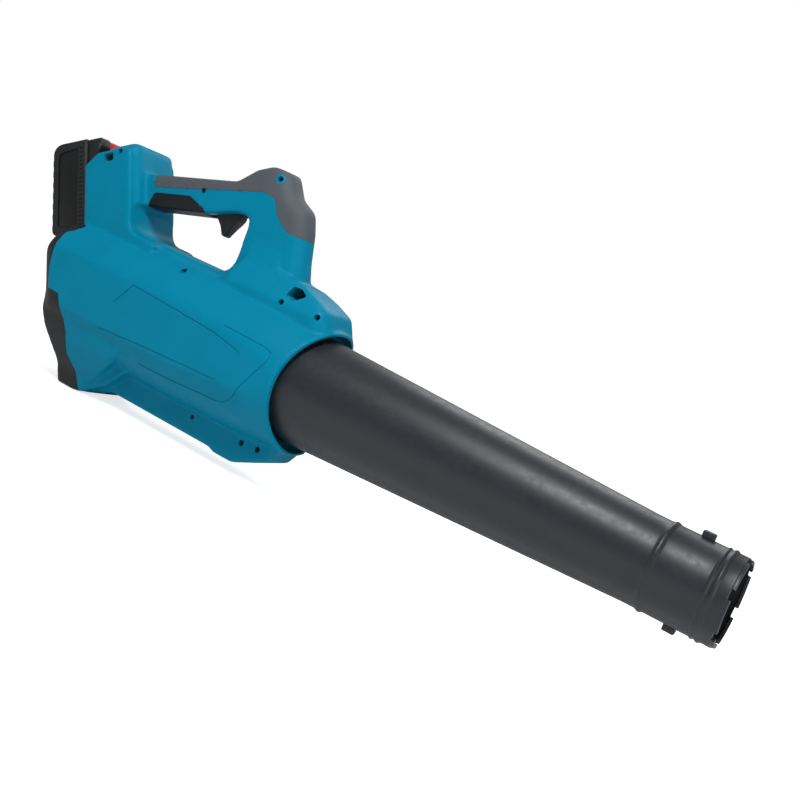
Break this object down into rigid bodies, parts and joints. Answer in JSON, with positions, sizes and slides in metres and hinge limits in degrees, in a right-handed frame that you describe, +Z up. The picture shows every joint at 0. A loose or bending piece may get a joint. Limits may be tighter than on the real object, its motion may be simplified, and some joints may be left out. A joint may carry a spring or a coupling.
{
  "type": "leaf blower",
  "caption": "Cordless leaf blower with a closed loop grip, a leaning slide-on battery, a round fan barrel and a long tapered air tube.",
  "frame": {"origin": "on the floor, under the middle of the blower's length and width", "axes": "+X along the air tube to the nozzle, +Y to the left, +Z up; the tube is level"},
  "size_m": [0.929, 0.146, 0.3299],
  "materials": {
    "teal_plastic": "moulded, fine satin grain",
    "soft_grip": "soft touch, matt",
    "black_plastic": "fine grain, matt",
    "tube_plastic": "satin",
    "duct_plastic": "matt",
    "battery_plastic": "satin",
    "red_plastic": "glossy",
    "steel": "zinc plated",
    "heat_sink_aluminium": "plain",
    "copper": "bare",
    "circuit_board": "solder mask",
    "cell_wrap": "shrink wrap"
  },
  "bodies": {
    "blower": {"casing_right": "teal_plastic", "casing_left": "teal_plastic", "upper_grip_right": "soft_grip", "upper_grip_left": "soft_grip", "lower_grip_right": "soft_grip", "lower_grip_left": "soft_grip", "rear_cover": "black_plastic", "inlet_grille": "black_plastic", "air_tube": "tube_plastic", "fan_duct": "duct_plastic", "tail_cone": "duct_plastic", "motor_case": "steel", "motor_end_bell": "steel", "motor_stator": "copper", "bearing_rear": "steel", "bearing_front": "steel", "battery_terminals": "copper", "control_board": "circuit_board", "board_heat_sink": "heat_sink_aluminium", "switch_body": "black_plastic", "trigger_spring": "steel", "screw_1": "steel", "screw_2": "steel", "screw_3": "steel", "screw_4": "steel", "screw_5": "steel", "screw_6": "steel", "screw_7": "steel", "screw_8": "steel", "screw_9": "steel", "screw_10": "steel"},
    "fan_rotor": {"fan": "duct_plastic", "fan_nose": "duct_plastic", "fan_nut": "steel", "motor_rotor": "steel", "motor_shaft": "steel"},
    "trigger": {"trigger": "black_plastic"},
    "battery": {"battery_lid": "battery_plastic", "battery_case": "battery_plastic", "battery_board": "circuit_board", "button_spring": "steel", "cell_1": "cell_wrap", "cell_2": "cell_wrap", "cell_3": "cell_wrap", "cell_4": "cell_wrap", "cell_5": "cell_wrap", "cell_6": "cell_wrap", "cell_7": "cell_wrap", "cell_8": "cell_wrap", "cell_9": "cell_wrap", "cell_10": "cell_wrap"},
    "battery_button": {"battery_button": "red_plastic"}
  },
  "joints": [
    {"name": "fan_spin", "type": "hinge", "parent": "blower", "child": "fan_rotor", "pos_m": [-0.20555, 0, 0.117], "axis": [1, 0, 0], "continuous": true},
    {"name": "trigger_pull", "type": "slide", "parent": "blower", "child": "trigger", "axis": [-0.9627, 0, -0.2706], "range_m": [0, 0.007], "stiffness_N_per_m": 500, "springref_m": -0.006, "deforming": ["trigger_spring"]},
    {"name": "battery_slide", "type": "slide", "parent": "blower", "child": "battery", "axis": [-0.4587, 0, 0.8886], "range_m": [0, 0.13]},
    {"name": "battery_release", "type": "slide", "parent": "battery", "child": "battery_button", "axis": [-0.8886, 0, -0.4587], "range_m": [0, 0.003], "stiffness_N_per_m": 900, "springref_m": -0.003, "deforming": ["button_spring"]}
  ]
}
